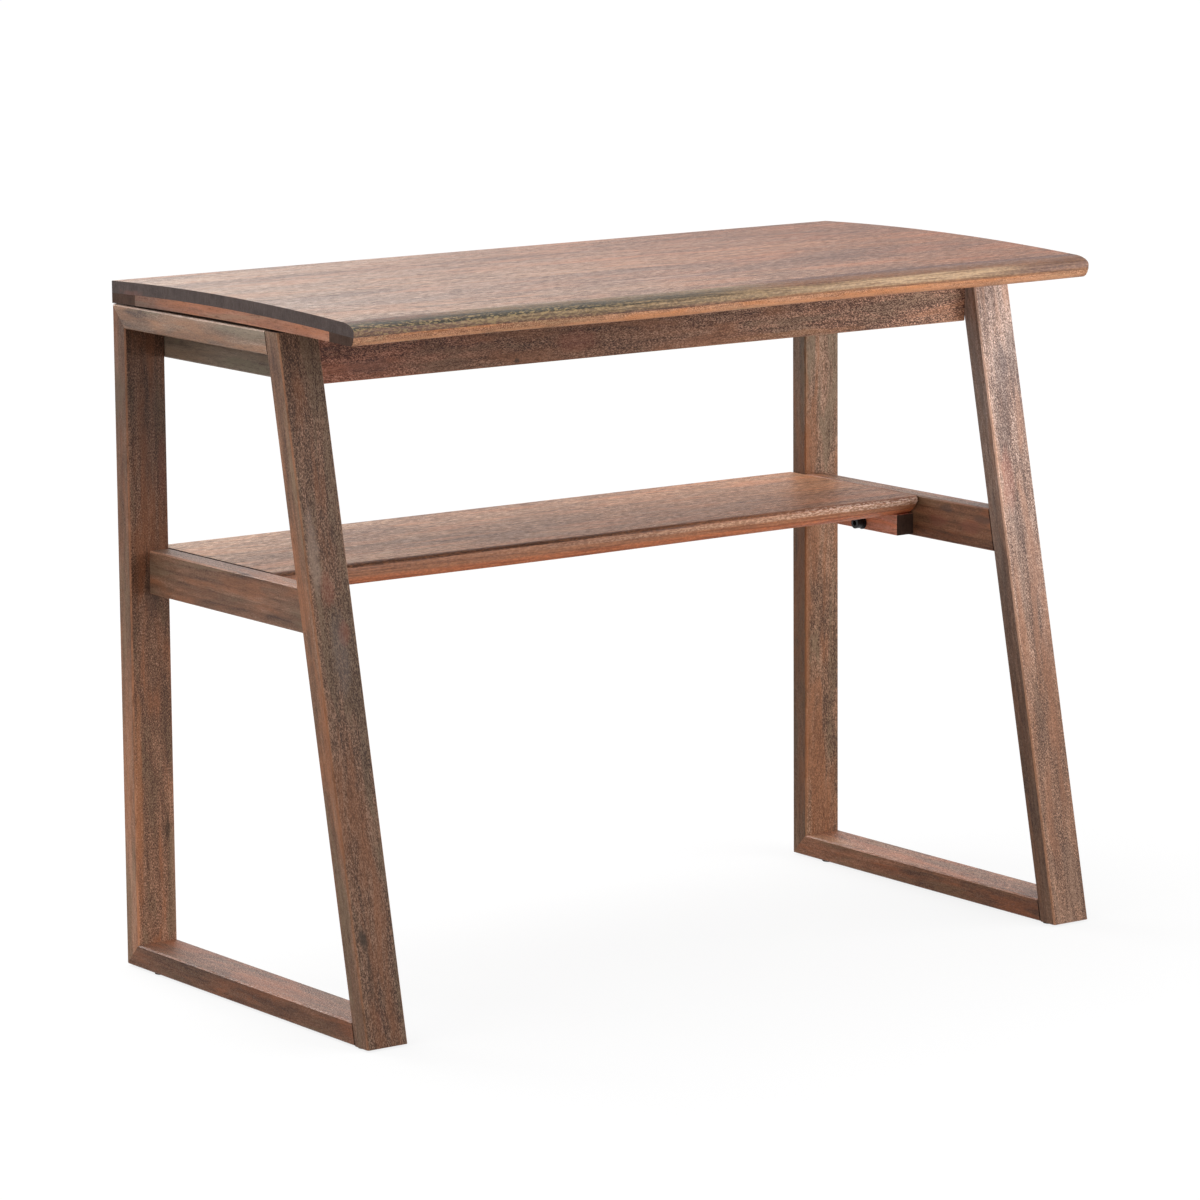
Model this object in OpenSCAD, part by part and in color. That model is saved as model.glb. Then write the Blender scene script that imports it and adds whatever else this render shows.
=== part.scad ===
// Writing desk: two trapezoid side frames, a built-up worktop on an apron box, and a shelf on cleats.
// Origin at the middle of the floor print. +X to the right, +Y to the back, +Z up. Millimetres.

/* [Overall] */
// Length over the two side frames, which the worktop matches
desk_length = 980; // [820:10:1300]
// Height of the worktop at the top of its crown
desk_height = 765; // [735:1:790]
// Depth of a side frame on the floor
base_depth = 484; // [430:2:600]

/* [Side frames] */
// Width of the solid stock, seen from the front
stock_w = 50; // [40:1:60]
// Thickness of the solid stock
stock_t = 25; // [20:1:30]
// Depth of a side frame at its top
frame_top_depth = 333; // [280:1:380]
// Bevel that eases the long edges of the frame stock
arris = 1.5; // [0.5:0.1:3]
// Bevel that eases the long edges of the shelf cleats
cleat_arris = 0.8; // [0.5:0.1:2]
// Height of the middle rails
mid_rail_h = 48; // [44:1:70]

/* [Worktop] */
// Depth of the worktop from back to front
top_depth = 480; // [420:1:540]
// Thickness of the worktop at its crown, boards and edge strips together
top_thickness = 26; // [22:0.5:32]
// Thickness of the boards alone
board_t = 13.5; // [11:0.5:16]
// Width of the strips that thicken the edge
strip_w = 48; // [36:1:60]
// Gap between the side frames and the worktop's lower face, where it is least
frame_gap = 1; // [0.5:0.5:6]
// Radius of the crown of the upper face
crown_r = 5000; // [4000:100:9000]
// Radius of the crown of the lower face
under_crown_r = 8500; // [6000:100:12000]
// Distance of the crown from the back edge
crown_from_back = 205; // [150:5:260]

/* [Live edges] */
// How far back the rounding of the worktop's front edge starts
top_round = 26; // [12:1:36]
// Height from the upper face down to the nose of the worktop
top_nose_drop = 9.5; // [5:0.5:12]
// Setback of the foot of the worktop's front edge from its nose at the left end
top_undercut = 6; // [2:0.5:12]
// How much that setback grows towards the right end
top_twist = 5; // [0:0.5:8]
// How far the worktop's front edge wanders back and forth
top_wander = 8; // [0:0.5:12]
// How far back the rounding of the shelf's front edge starts at its left end
shelf_round = 13; // [8:1:24]
// How much of that is gone at its right end
shelf_round_loss = 7; // [0:1:7]
// Height from the shelf's face down to its nose
shelf_nose_drop = 5; // [3:0.5:10]
// Setback of the foot of the shelf's front edge at its left end
shelf_undercut = 2; // [1:0.5:12]
// How much that setback grows towards its right end
shelf_twist = 18; // [0:0.5:24]
// How far the shelf's front edge wanders back and forth
shelf_wander = 3; // [0:0.5:6]

/* [Aprons] */
// Thickness of the aprons
apron_t = 22; // [16:1:28]
// How far the aprons reach below the top of the side frames
apron_drop = 60; // [50:1:80]
// Setback of the front apron from the front of the side frames at their top
apron_reveal = 13; // [6:1:24]
// Setback of the back apron from the back of the worktop
apron_back_setback = 4; // [2:1:20]

/* [Shelf] */
// Height of the shelf's upper face above the floor
shelf_height = 465; // [380:1:520]
// Depth of the shelf from back to front
shelf_depth = 241; // [190:1:250]
// Thickness of the shelf boards
shelf_t = 22; // [18:1:28]
// Gap between each end of the shelf and its middle rail
shelf_gap = 2.7; // [1:0.1:5]
// Width and height of the cleats under the shelf's ends
cleat_size = 24; // [20:1:30]
// Setback of the cleats from the front of the shelf
cleat_front_setback = 13; // [4:1:30]
// Setback of the cleats from the back of the shelf
cleat_back_setback = 6; // [2:1:30]

/* [Bolts] */
// Diameter of the bolts
bolt_d = 8; // [6:1:8]
// Length of the bolts under the head
bolt_l = 40; // [38:1:42]
// Diameter of the cap heads
bolt_head_d = 13; // [12:0.5:14]
// Height of the cap heads
bolt_head_h = 8; // [5:0.5:9]
// Width across the flats of the hexagon sockets
socket_af = 6; // [4:0.5:7]
// Depth of the hexagon sockets
socket_depth = 4; // [2:0.5:5]
// Diameter of the flat washers
washer_d = 16; // [14:0.5:18]
// Thickness of the flat washers
washer_t = 1.6; // [1:0.1:2.5]
// Diameter of the spring washers
spring_washer_d = 14; // [12.5:0.5:15]
// Thickness of the spring washers
spring_washer_t = 2; // [1.5:0.1:2.5]
// Outer diameter of the threaded inserts
insert_d = 12; // [10:0.5:13]
// Length of the threaded inserts
insert_l = 15; // [13:0.5:16]
// Height of the shelf bolts above the foot of the cleats
shelf_bolt_up = 8; // [7.5:0.5:12]
// Distance of the front shelf bolts from the front of the shelf
shelf_bolt_front = 77; // [60:1:90]
// Distance of the back shelf bolts from the back of the shelf
shelf_bolt_back = 78; // [50:1:100]
// Distance of the front worktop bolts from the front face of the front apron
apron_bolt_front = 60; // [45:1:90]
// Distance of the back worktop bolts from the back of the side frames
apron_bolt_back = 70; // [50:1:100]

/* [Screws, dowels and feet] */
// Diameter of the screw shanks
screw_d = 4; // [3:0.5:5]
// Diameter of the screw heads
screw_head_d = 8; // [7:0.5:9]
// Height of the screw heads
screw_head_h = 3; // [2:0.5:4]
// Depth to which the screws bite into the boards above
screw_bite = 9; // [6:0.5:10]
// Length of the worktop screws under the head
top_screw_l = 40; // [30:1:45]
// Distance between the worktop screws along the front and back aprons
screw_pitch = 300; // [200:5:340]
// Distance of the screws in the side aprons from the bolts there
side_screw_gap = 32; // [20:1:40]
// Diameter of the dowels
dowel_d = 8; // [6:1:8]
// Length of the dowels in the butt joints
dowel_l = 30; // [24:1:32]
// Depth of those dowels in the member that they enter crosswise
dowel_seat = 14; // [10:0.5:15]
// Length of the dowels across the mitres
mitre_dowel_l = 22; // [16:1:23]
// Distance between the two dowels of a joint
dowel_pitch = 24; // [20:1:28]
// Height of the lower apron dowels above the foot of the aprons
apron_dowel_up = 18; // [10:1:24]
// Length of a foot pad across the stock
foot_l = 44; // [30:1:46]
// Width of a foot pad
foot_w = 16; // [12:1:20]
// Thickness of a foot pad
foot_t = 2; // [1.5:0.5:4]
// Distance of the back foot pads from the back of the frame
foot_back = 56; // [30:1:80]
// Distance of the front foot pads from the front of the frame
foot_front = 21; // [12:1:40]

/* [Clearances] */
// Radial clearance round dowels, screws, bolts and inserts
fit = 0.1; // [0.05:0.05:0.3]
// Radial clearance of the bolts in the aprons and cleats
bolt_clear = 0.5; // [0.3:0.1:0.8]
// Depth left free at the end of a blind hole
end_clear = 0.5; // [0.3:0.1:1]

/* [Hidden] */

curve_fn = 48;
// Steps of the crowned faces over the depth of the worktop
crown_steps = 40;
// Numbers of boards in the worktop and in the shelf
top_boards = 5;
shelf_boards = 3;
// Steps of the live edges along the length, over the rounding, under the nose and across a board
edge_steps = 49;
round_steps = 7;
under_steps = 4;
across_steps = 4;
// Waves of a live edge over its length, their starts in degrees, and the share of the slow one
slow_waves = 0.5;
quick_waves = 2;
slow_start = 0;
quick_start = -20;
slow_share = 0.2;
// Share of a straight slant in the lower half of the shelf's live edge at its right end
slant_share = 0.5;

wood_top = "#a97f69";
wood_frame = "#7d5340";
wood_rail = "#84563f";
wood_strip = "#a4623f";
wood_shelf = "#a07660";
steel_black = "#202022";
steel_zinc = "#b9b9b4";
dowel_beech = "#d0ad7d";
pad_dark = "#2a2826";

half_len = desk_length / 2;
frame_in = half_len - stock_w;
y_back = base_depth / 2;
y_foot = -base_depth / 2;
z_under = foot_t;

crown_y = y_back - crown_from_back;
board_under_r = crown_r - board_t;
crown_centre_z = desk_height - crown_r;
under_centre_z = desk_height - top_thickness - under_crown_r;
frame_height = min(under_z(y_back), under_z(y_back - frame_top_depth)) - frame_gap;

lean_angle = atan((base_depth - frame_top_depth) / (frame_height - z_under));
leg_run = tan(lean_angle);
leg_depth = stock_t / cos(lean_angle);

y_front = y_back - top_depth;
top_board_w = top_depth / top_boards;

apron_z = frame_height - apron_drop;
apron_y = y_back - frame_top_depth + apron_reveal;
apron_back_y = y_back - apron_back_setback;

shelf_z = shelf_height - shelf_t;
shelf_front = y_back - shelf_depth;
shelf_board_w = shelf_depth / shelf_boards;
shelf_half = frame_in - shelf_gap;
cleat_z = shelf_z - cleat_size;
cleat_in = frame_in - cleat_size;
mid_rail_z = shelf_height - mid_rail_h;
shelf_bolt_z = cleat_z + shelf_bolt_up;
shelf_bolt_ys = [shelf_front + shelf_bolt_front, y_back - shelf_bolt_back];
top_bolt_z = frame_height - stock_t / 2;
top_bolt_ys = [apron_y + apron_bolt_front, y_back - apron_bolt_back];
side_screw_ys = [top_bolt_ys[0] + side_screw_gap, top_bolt_ys[1] - side_screw_gap];
head_clear = 1;
shelf_screw_l = cleat_size + screw_bite - screw_head_h;
shelf_screw_z = cleat_z + screw_head_h;

// Heights of the curved faces over a place y in the depth
function arc_z(y, r, centre_z) = centre_z + sqrt(r * r - (y - crown_y) * (y - crown_y));
function top_z(y) = arc_z(y, crown_r, crown_centre_z);
function board_z(y) = arc_z(y, board_under_r, crown_centre_z);
function under_z(y) = arc_z(y, under_crown_r, under_centre_z);

// Front and back face of the slanted leg at height z
function leg_front_y(z) = y_foot + (z - z_under) * leg_run;
function leg_back_y(z) = leg_front_y(z) + leg_depth;

// Wandering line of a live edge, from 0 to its full amount
function wander(x, amount) =
  amount / 2 * (1 + slow_share * sin(360 * slow_waves * x / desk_length + slow_start)
  + (1 - slow_share) * sin(360 * quick_waves * x / desk_length + quick_start));

// Upper and lower half of a live edge, as quarter ellipses from face to nose and from nose to foot
function round_over(y_nose, z_nose, depth, z_face) = [for (i = [0 : round_steps])
  let (t = 90 * i / round_steps)
  [y_nose + depth * (1 - sin(t)), z_nose + (z_face - z_nose) * cos(t)]];
function undercut(y_nose, z_nose, depth, z_foot, t0, t1) = [for (i = [0 : under_steps])
  let (t = t0 + (t1 - t0) * i / under_steps)
  [y_nose + depth * (1 - cos(t)), z_nose - (z_nose - z_foot) * sin(t)]];

// Outline of an eased rectangle
function eased(a0, a1, b0, b1, e) = [
  [a0 + e, b0], [a1 - e, b0], [a1, b0 + e], [a1, b1 - e],
  [a1 - e, b1], [a0 + e, b1], [a0, b1 - e], [a0, b0 + e]];

// Turns an outline drawn in Y and Z into a solid along X
module along_x(x0, x1) {
  translate([x0, 0, 0]) rotate([90, 0, 90]) linear_extrude(x1 - x0) children();
}

// Eased bars along each axis
module bar_x(x0, x1, y0, y1, z0, z1, e) {
  along_x(x0, x1) polygon(eased(y0, y1, z0, z1, e));
}
module bar_y(x0, x1, y0, y1, z0, z1, e) {
  translate([0, y1, 0]) rotate([90, 0, 0]) linear_extrude(y1 - y0) polygon(eased(x0, x1, z0, z1, e));
}
module bar_z(x0, x1, y0, y1, z0, z1, e) {
  translate([0, 0, z0]) linear_extrude(z1 - z0) polygon(eased(x0, x1, y0, y1, e));
}

// Block between two corners
module block(x0, x1, y0, y1, z0, z1) {
  translate([x0, y0, z0]) cube([x1 - x0, y1 - y0, z1 - z0]);
}

// Places over the depth of the worktop where the crowned faces are given
crown_ys = [for (i = [0 : crown_steps]) y_front + top_depth * i / crown_steps];

// Solid between the floor and a line over the depth, the height of which is given at crown_ys
module below(line) {
  last = crown_steps;
  along_x(-half_len - 1, half_len + 1) polygon(concat(
    [[crown_ys[last] + 1, 0], [crown_ys[0] - 1, 0], [crown_ys[0] - 1, line[0]]],
    [for (i = [0 : last]) [crown_ys[i], line[i]]],
    [[crown_ys[last] + 1, line[last]]]));
}

module below_top() {
  below([for (y = crown_ys) top_z(y)]);
}

module below_boards() {
  below([for (y = crown_ys) board_z(y)]);
}

module below_strips() {
  below([for (y = crown_ys) under_z(y)]);
}

// Round pin or hole along one axis, centred on its place
module pin(d, l, turn) {
  rotate(turn) cylinder(d = d, h = l, center = true, $fn = curve_fn);
}

module on_right(side) {
  if (side > 0) children();
  else mirror([1, 0, 0]) children();
}

// Closed solid through rings of points that lie in planes of constant x
module loft(xs, rings) {
  n = len(rings[0]);
  last = len(rings) - 1;
  points = [for (i = [0 : last]) for (p = rings[i]) [xs[i], p[0], p[1]]];
  sides = [for (i = [0 : last - 1]) for (j = [0 : n - 1]) let (k = (j + 1) % n)
    each [[i * n + j, i * n + k, (i + 1) * n + k], [i * n + j, (i + 1) * n + k, (i + 1) * n + j]]];
  first_cap = [[for (j = [n - 1 : -1 : 0]) j]];
  last_cap = [[for (j = [0 : n - 1]) last * n + j]];
  polyhedron(points = points, faces = concat(sides, first_cap, last_cap), convexity = 4);
}

// Worktop

function top_xs() = [for (i = [0 : edge_steps]) -half_len + desk_length * i / edge_steps];
function top_nose_y(x) = y_front + wander(x, top_wander);
function top_face_y(x) = top_nose_y(x) + top_round;
function top_nose_z(x) = top_z(top_face_y(x)) - top_nose_drop;
function top_foot_depth(x) = top_undercut + top_twist * pow((x + half_len) / desk_length, 2);
function top_foot_y(x) = top_nose_y(x) + top_foot_depth(x);
function seam_angle(x) = asin((top_nose_z(x) - board_z(y_front)) / (top_nose_z(x) - under_z(top_foot_y(x))));
function seam_y(x) = top_nose_y(x) + top_foot_depth(x) * (1 - cos(seam_angle(x)));

// Points from y0 to y1 on a crowned face, both ends left out
function across(y0, y1) = [for (i = [1 : across_steps - 1]) y0 + (y1 - y0) * i / across_steps];

function front_board_ring(x) =
  let (back = y_front + top_board_w, face = top_face_y(x), seam = seam_y(x), a = seam_angle(x))
  concat(
    [[back, board_z(back)], [back, top_z(back)]],
    [for (y = across(back, face)) [y, top_z(y)]],
    round_over(top_nose_y(x), top_nose_z(x), top_round, top_z(face)),
    [for (i = [1 : under_steps - 1]) undercut(top_nose_y(x), top_nose_z(x), top_foot_depth(x),
      under_z(top_foot_y(x)), 0, a)[i]],
    [[seam, board_z(seam)]],
    [for (y = across(seam, back)) [y, board_z(y)]]);

function front_strip_ring(x) =
  let (back = y_front + strip_w, foot = top_foot_y(x), seam = seam_y(x), a = seam_angle(x))
  concat(
    [[back, under_z(back)], [back, board_z(back)]],
    [for (y = across(back, seam)) [y, board_z(y)]],
    [[seam, board_z(seam)]],
    [for (i = [1 : under_steps]) undercut(top_nose_y(x), top_nose_z(x), top_foot_depth(x),
      under_z(foot), a, 90)[i]],
    [for (y = across(foot, back)) [y, under_z(y)]]);

// Crowned board of the worktop, counted from the back
module top_board(i) {
  y1 = y_back - i * top_board_w;
  difference() {
    intersection() {
      block(-half_len, half_len, y1 - top_board_w, y1, frame_height, desk_height + 1);
      below_top();
    }
    below_boards();
    top_screw_set(2 * fit, end_clear);
  }
}

module top_back_board() {
  color(wood_top) top_board(0);
}

module top_second_board() {
  color(wood_top) top_board(1);
}

module top_middle_board() {
  color(wood_top) top_board(2);
}

module top_fourth_board() {
  color(wood_top) top_board(3);
}

module top_front_board() {
  color(wood_top) loft(top_xs(), [for (x = top_xs()) front_board_ring(x)]);
}

// Space of an edge strip between the boards and the lower crowned face
module strip_space(x0, x1, y0, y1) {
  difference() {
    intersection() {
      block(x0, x1, y0, y1, apron_z, desk_height);
      below_boards();
    }
    below_strips();
  }
}

module top_back_strip() {
  color(wood_strip) difference() {
    strip_space(-half_len, half_len, y_back - strip_w, y_back);
    top_screw_set(2 * fit, end_clear);
  }
}

module top_front_strip() {
  color(wood_strip) loft(top_xs(), [for (x = top_xs()) front_strip_ring(x)]);
}

module end_strip(side) {
  color(wood_strip) on_right(side)
    strip_space(frame_in, half_len, y_front + strip_w, y_back - strip_w);
}

// Apron box

// Place of each worktop screw: x, y and the height of the board's lower face there
function screw_place(x, y) = [x, y, board_z(y)];
top_screw_places = concat(
  [for (i = [-1 : 1]) screw_place(i * screw_pitch, apron_y + apron_t / 2)],
  [for (i = [-1 : 1]) screw_place(i * screw_pitch, apron_back_y - apron_t / 2)],
  [for (s = [-1, 1]) for (y = side_screw_ys) screw_place(s * (frame_in - apron_t / 2), y)]);

// Worktop screws, or with the clearances the holes that they run in
module top_screw_set(more_d, more_l) {
  for (p = top_screw_places) translate([p[0], p[1], p[2] + screw_bite + more_l]) mirror([0, 0, 1]) {
    cylinder(d = screw_d + more_d, h = top_screw_l + more_l, $fn = curve_fn);
    translate([0, 0, top_screw_l + more_l])
      cylinder(d = screw_head_d + more_d, h = screw_head_h, $fn = curve_fn);
  }
}

// Screw holes with their counterbores, open at the foot of the aprons
module top_screw_holes() {
  top_screw_set(2 * fit, end_clear);
  for (p = top_screw_places) {
    head_z = p[2] + screw_bite - top_screw_l;
    translate([p[0], p[1], apron_z - 1])
      cylinder(d = screw_head_d + 2 * head_clear, h = head_z - apron_z + 1, $fn = curve_fn);
  }
}

// Places and turns of the dowels that join the box: two in each corner
apron_dowel_zs = [apron_z + apron_dowel_up, apron_z + apron_dowel_up + dowel_pitch];
module apron_dowel_set(more_d, more_l) {
  for (s = [-1, 1]) for (z = apron_dowel_zs) {
    translate([s * (frame_in - apron_t / 2), apron_y + apron_t - dowel_seat + dowel_l / 2, z])
      pin(dowel_d + more_d, dowel_l + more_l, [90, 0, 0]);
    translate([s * (frame_in - apron_t + dowel_seat - dowel_l / 2), apron_back_y - apron_t / 2, z])
      pin(dowel_d + more_d, dowel_l + more_l, [0, 90, 0]);
  }
}

module front_apron() {
  color(wood_rail) difference() {
    intersection() {
      bar_x(-frame_in, frame_in, apron_y, apron_y + apron_t, apron_z, desk_height, arris);
      below_boards();
    }
    top_screw_holes();
    apron_dowel_set(2 * fit, 2 * end_clear);
  }
}

module back_apron() {
  color(wood_rail) difference() {
    intersection() {
      bar_x(apron_t - frame_in, frame_in - apron_t, apron_back_y - apron_t, apron_back_y,
        apron_z, desk_height, arris);
      below_strips();
    }
    top_screw_holes();
    apron_dowel_set(2 * fit, 2 * end_clear);
  }
}

// Side apron, notched at its back end for the back strip
module side_apron(side) {
  color(wood_rail) on_right(side) difference() {
    intersection() {
      bar_y(frame_in - apron_t, frame_in, apron_y + apron_t, apron_back_y, apron_z, desk_height, arris);
      below_boards();
    }
    difference() {
      block(frame_in - 2 * apron_t, half_len, y_back - strip_w - fit, y_back + 1, apron_z, desk_height);
      below_strips();
    }
    top_screw_holes();
    apron_dowel_set(2 * fit, 2 * end_clear);
    bolt_holes();
  }
}

module apron_dowels() {
  color(dowel_beech) apron_dowel_set(0, 0);
}

module top_screws() {
  color(steel_zinc) top_screw_set(0, 0);
}

// Side frames, drawn on the right

// Dowels of one side frame: two across each mitre and two in each butt joint
module frame_dowel_set(more_d, more_l) {
  mid_x = half_len - stock_w / 2;
  rail_x = frame_in + stock_t / 2;
  rail_zs = [z_under + stock_t / 2, frame_height - stock_t / 2];
  for (s = [-1, 1]) {
    for (k = [0, 1]) translate([mid_x + s * dowel_pitch / 2, y_back - stock_t / 2, rail_zs[k]])
      pin(dowel_d + more_d, mitre_dowel_l + more_l, [k == 0 ? -45 : 45, 0, 0]);
    for (z = rail_zs)
      translate([mid_x + s * dowel_pitch / 2, leg_back_y(z) - dowel_seat + dowel_l / 2, z])
        pin(dowel_d + more_d, dowel_l + more_l, [90, 0, 0]);
    z = mid_rail_z + mid_rail_h / 2 + s * dowel_pitch / 2;
    translate([rail_x, leg_back_y(z) - dowel_seat + dowel_l / 2, z])
      pin(dowel_d + more_d, dowel_l + more_l, [90, 0, 0]);
    translate([rail_x, y_back - stock_t + dowel_seat - dowel_l / 2, z])
      pin(dowel_d + more_d, dowel_l + more_l, [90, 0, 0]);
  }
}

// Cuts a frame member to its outline and bores it
module frame_member(side, outline) {
  color(wood_frame) on_right(side) difference() {
    intersection() {
      children();
      along_x(frame_in - 1, half_len + 1) polygon(outline);
    }
    frame_dowel_set(2 * fit, 2 * end_clear);
    insert_holes();
  }
}

module back_leg(side) {
  frame_member(side, [
    [y_back, z_under], [y_back, frame_height],
    [y_back - stock_t, frame_height - stock_t], [y_back - stock_t, z_under + stock_t]])
    bar_z(frame_in, half_len, y_back - stock_t, y_back, z_under, frame_height, arris);
}

module front_leg(side) {
  frame_member(side, [
    [y_foot - stock_t, z_under], [y_back, z_under],
    [y_back, frame_height], [y_foot - stock_t, frame_height]])
    translate([0, y_foot, z_under]) rotate([-lean_angle, 0, 0])
      bar_z(frame_in, half_len, 0, stock_t, -stock_t, frame_height * 1.1, arris);
}

module top_rail(side) {
  z0 = frame_height - stock_t;
  frame_member(side, [
    [y_back, frame_height], [leg_back_y(frame_height), frame_height],
    [leg_back_y(z0), z0], [y_back - stock_t, z0]])
    bar_y(frame_in, half_len, leg_back_y(z0) - 1, y_back, z0, frame_height, arris);
}

module bottom_rail(side) {
  z1 = z_under + stock_t;
  frame_member(side, [
    [y_back, z_under], [leg_back_y(z_under), z_under],
    [leg_back_y(z1), z1], [y_back - stock_t, z1]])
    bar_y(frame_in, half_len, leg_back_y(z_under) - 1, y_back, z_under, z1, arris);
}

module mid_rail(side) {
  frame_member(side, [
    [y_back - stock_t, mid_rail_z], [leg_back_y(mid_rail_z), mid_rail_z],
    [leg_back_y(shelf_height), shelf_height], [y_back - stock_t, shelf_height]])
    bar_y(frame_in, frame_in + stock_t, leg_back_y(mid_rail_z) - 1, y_back, mid_rail_z, shelf_height, arris);
}

module frame_dowels(side) {
  color(dowel_beech) on_right(side) frame_dowel_set(0, 0);
}

// Shelf

function shelf_xs() = [for (i = [0 : edge_steps]) -shelf_half + 2 * shelf_half * i / edge_steps];
function shelf_nose_y(x) = shelf_front + wander(x, shelf_wander);
function shelf_along(x) = (x + shelf_half) / (2 * shelf_half);
function shelf_foot_depth(x) = shelf_undercut + shelf_twist * pow(shelf_along(x), 3);
function shelf_round_depth(x) = shelf_round - shelf_round_loss * sqrt(shelf_along(x));

// Lower half of the shelf's live edge: round at the left end, more slanted towards the right end
function shelf_under(x, z_nose) = [for (i = [1 : under_steps])
  let (t = 90 * i / under_steps, straight = slant_share * shelf_along(x))
  [shelf_nose_y(x) + shelf_foot_depth(x) * (straight * sin(t) + (1 - straight) * (1 - cos(t))),
    z_nose - (z_nose - shelf_z) * sin(t)]];

function shelf_front_ring(x) =
  let (back = shelf_front + shelf_board_w, z_nose = shelf_height - shelf_nose_drop)
  concat(
    [[back, shelf_z], [back, shelf_height]],
    round_over(shelf_nose_y(x), z_nose, shelf_round_depth(x), shelf_height),
    shelf_under(x, z_nose));

// Shelf board, counted from the back
module shelf_board(i) {
  y1 = y_back - i * shelf_board_w;
  difference() {
    block(-shelf_half, shelf_half, y1 - shelf_board_w, y1, shelf_z, shelf_height);
    shelf_screw_set(2 * fit, end_clear);
  }
}

module shelf_back_board() {
  color(wood_shelf) shelf_board(0);
}

module shelf_middle_board() {
  color(wood_shelf) shelf_board(1);
}

module shelf_front_board() {
  color(wood_shelf) difference() {
    loft(shelf_xs(), [for (x = shelf_xs()) shelf_front_ring(x)]);
    shelf_screw_set(2 * fit, end_clear);
  }
}

// One screw through each cleat into each board, driven from below, or with the clearances its hole
module shelf_screw_set(more_d, more_l) {
  for (s = [-1, 1]) for (i = [0 : shelf_boards - 1])
    translate([s * (frame_in - cleat_size / 2), y_back - (i + 0.5) * shelf_board_w, shelf_screw_z]) {
      cylinder(d = screw_d + more_d, h = shelf_screw_l + more_l, $fn = curve_fn);
      translate([0, 0, -screw_head_h - more_l])
        cylinder(d = screw_head_d + more_d, h = screw_head_h + more_l, $fn = curve_fn);
    }
}

module shelf_cleat(side) {
  color(wood_rail) difference() {
    on_right(side) bar_y(cleat_in, frame_in, shelf_front + cleat_front_setback, y_back - cleat_back_setback,
      cleat_z, shelf_z, cleat_arris);
    shelf_screw_set(2 * fit, end_clear);
    on_right(side) bolt_holes();
  }
}

module shelf_screws() {
  color(steel_zinc) shelf_screw_set(0, 0);
}

// Bolts, drawn on the right: bearing face, y and z of each

bolt_places = concat(
  [for (y = shelf_bolt_ys) [cleat_in, y, shelf_bolt_z]],
  [for (y = top_bolt_ys) [frame_in - apron_t, y, top_bolt_z]]);

module at_bolts() {
  for (p = bolt_places) translate(p) rotate([0, 90, 0]) children();
}

module at_all_bolts() {
  for (s = [-1, 1]) on_right(s) at_bolts() children();
}

// Clearance holes through the cleats and side aprons
module bolt_holes() {
  for (p = bolt_places) translate([p[0] - 1, p[1], p[2]]) rotate([0, 90, 0])
    cylinder(d = bolt_d + 2 * bolt_clear, h = frame_in - p[0] + 2, $fn = curve_fn);
}

// Blind holes for the inserts in the rails
module insert_holes() {
  for (p = bolt_places) translate([frame_in - 1, p[1], p[2]]) rotate([0, 90, 0])
    cylinder(d = insert_d + 2 * fit, h = insert_l + end_clear + 1, $fn = curve_fn);
}

module bolts() {
  stack = washer_t + spring_washer_t;
  color(steel_black) at_all_bolts() translate([0, 0, -stack]) difference() {
    union() {
      cylinder(d = bolt_d, h = bolt_l, $fn = curve_fn);
      translate([0, 0, -bolt_head_h]) cylinder(d = bolt_head_d, h = bolt_head_h, $fn = curve_fn);
    }
    translate([0, 0, -bolt_head_h - 1]) cylinder(d = socket_af / cos(30), h = socket_depth + 1, $fn = 6);
  }
}

module flat_washers() {
  color(steel_black) at_all_bolts() translate([0, 0, -washer_t]) difference() {
    cylinder(d = washer_d, h = washer_t, $fn = curve_fn);
    translate([0, 0, -1]) cylinder(d = bolt_d + 2 * fit, h = washer_t + 2, $fn = curve_fn);
  }
}

// Spring washers, split once
module spring_washers() {
  split = spring_washer_t / 2;
  color(steel_black) at_all_bolts() translate([0, 0, -washer_t - spring_washer_t]) difference() {
    cylinder(d = spring_washer_d, h = spring_washer_t, $fn = curve_fn);
    translate([0, 0, -1]) cylinder(d = bolt_d + 2 * fit, h = spring_washer_t + 2, $fn = curve_fn);
    translate([0, -split / 2, -1]) cube([spring_washer_d, split, spring_washer_t + 2]);
  }
}

module threaded_inserts() {
  color(steel_zinc) for (s = [-1, 1]) on_right(s) for (p = bolt_places)
    translate([frame_in, p[1], p[2]]) rotate([0, 90, 0]) difference() {
      cylinder(d = insert_d, h = insert_l, $fn = curve_fn);
      translate([0, 0, -1]) cylinder(d = bolt_d + 2 * fit, h = insert_l + 2, $fn = curve_fn);
    }
}

// Foot pad with round ends, lying across the stock
module foot(side, y) {
  straight = foot_l - foot_w;
  color(pad_dark) translate([side * (half_len - stock_w / 2), y, 0]) {
    translate([-straight / 2, -foot_w / 2, 0]) cube([straight, foot_w, foot_t]);
    for (s = [-1, 1]) translate([s * straight / 2, 0, 0]) cylinder(d = foot_w, h = foot_t, $fn = curve_fn);
  }
}

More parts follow.
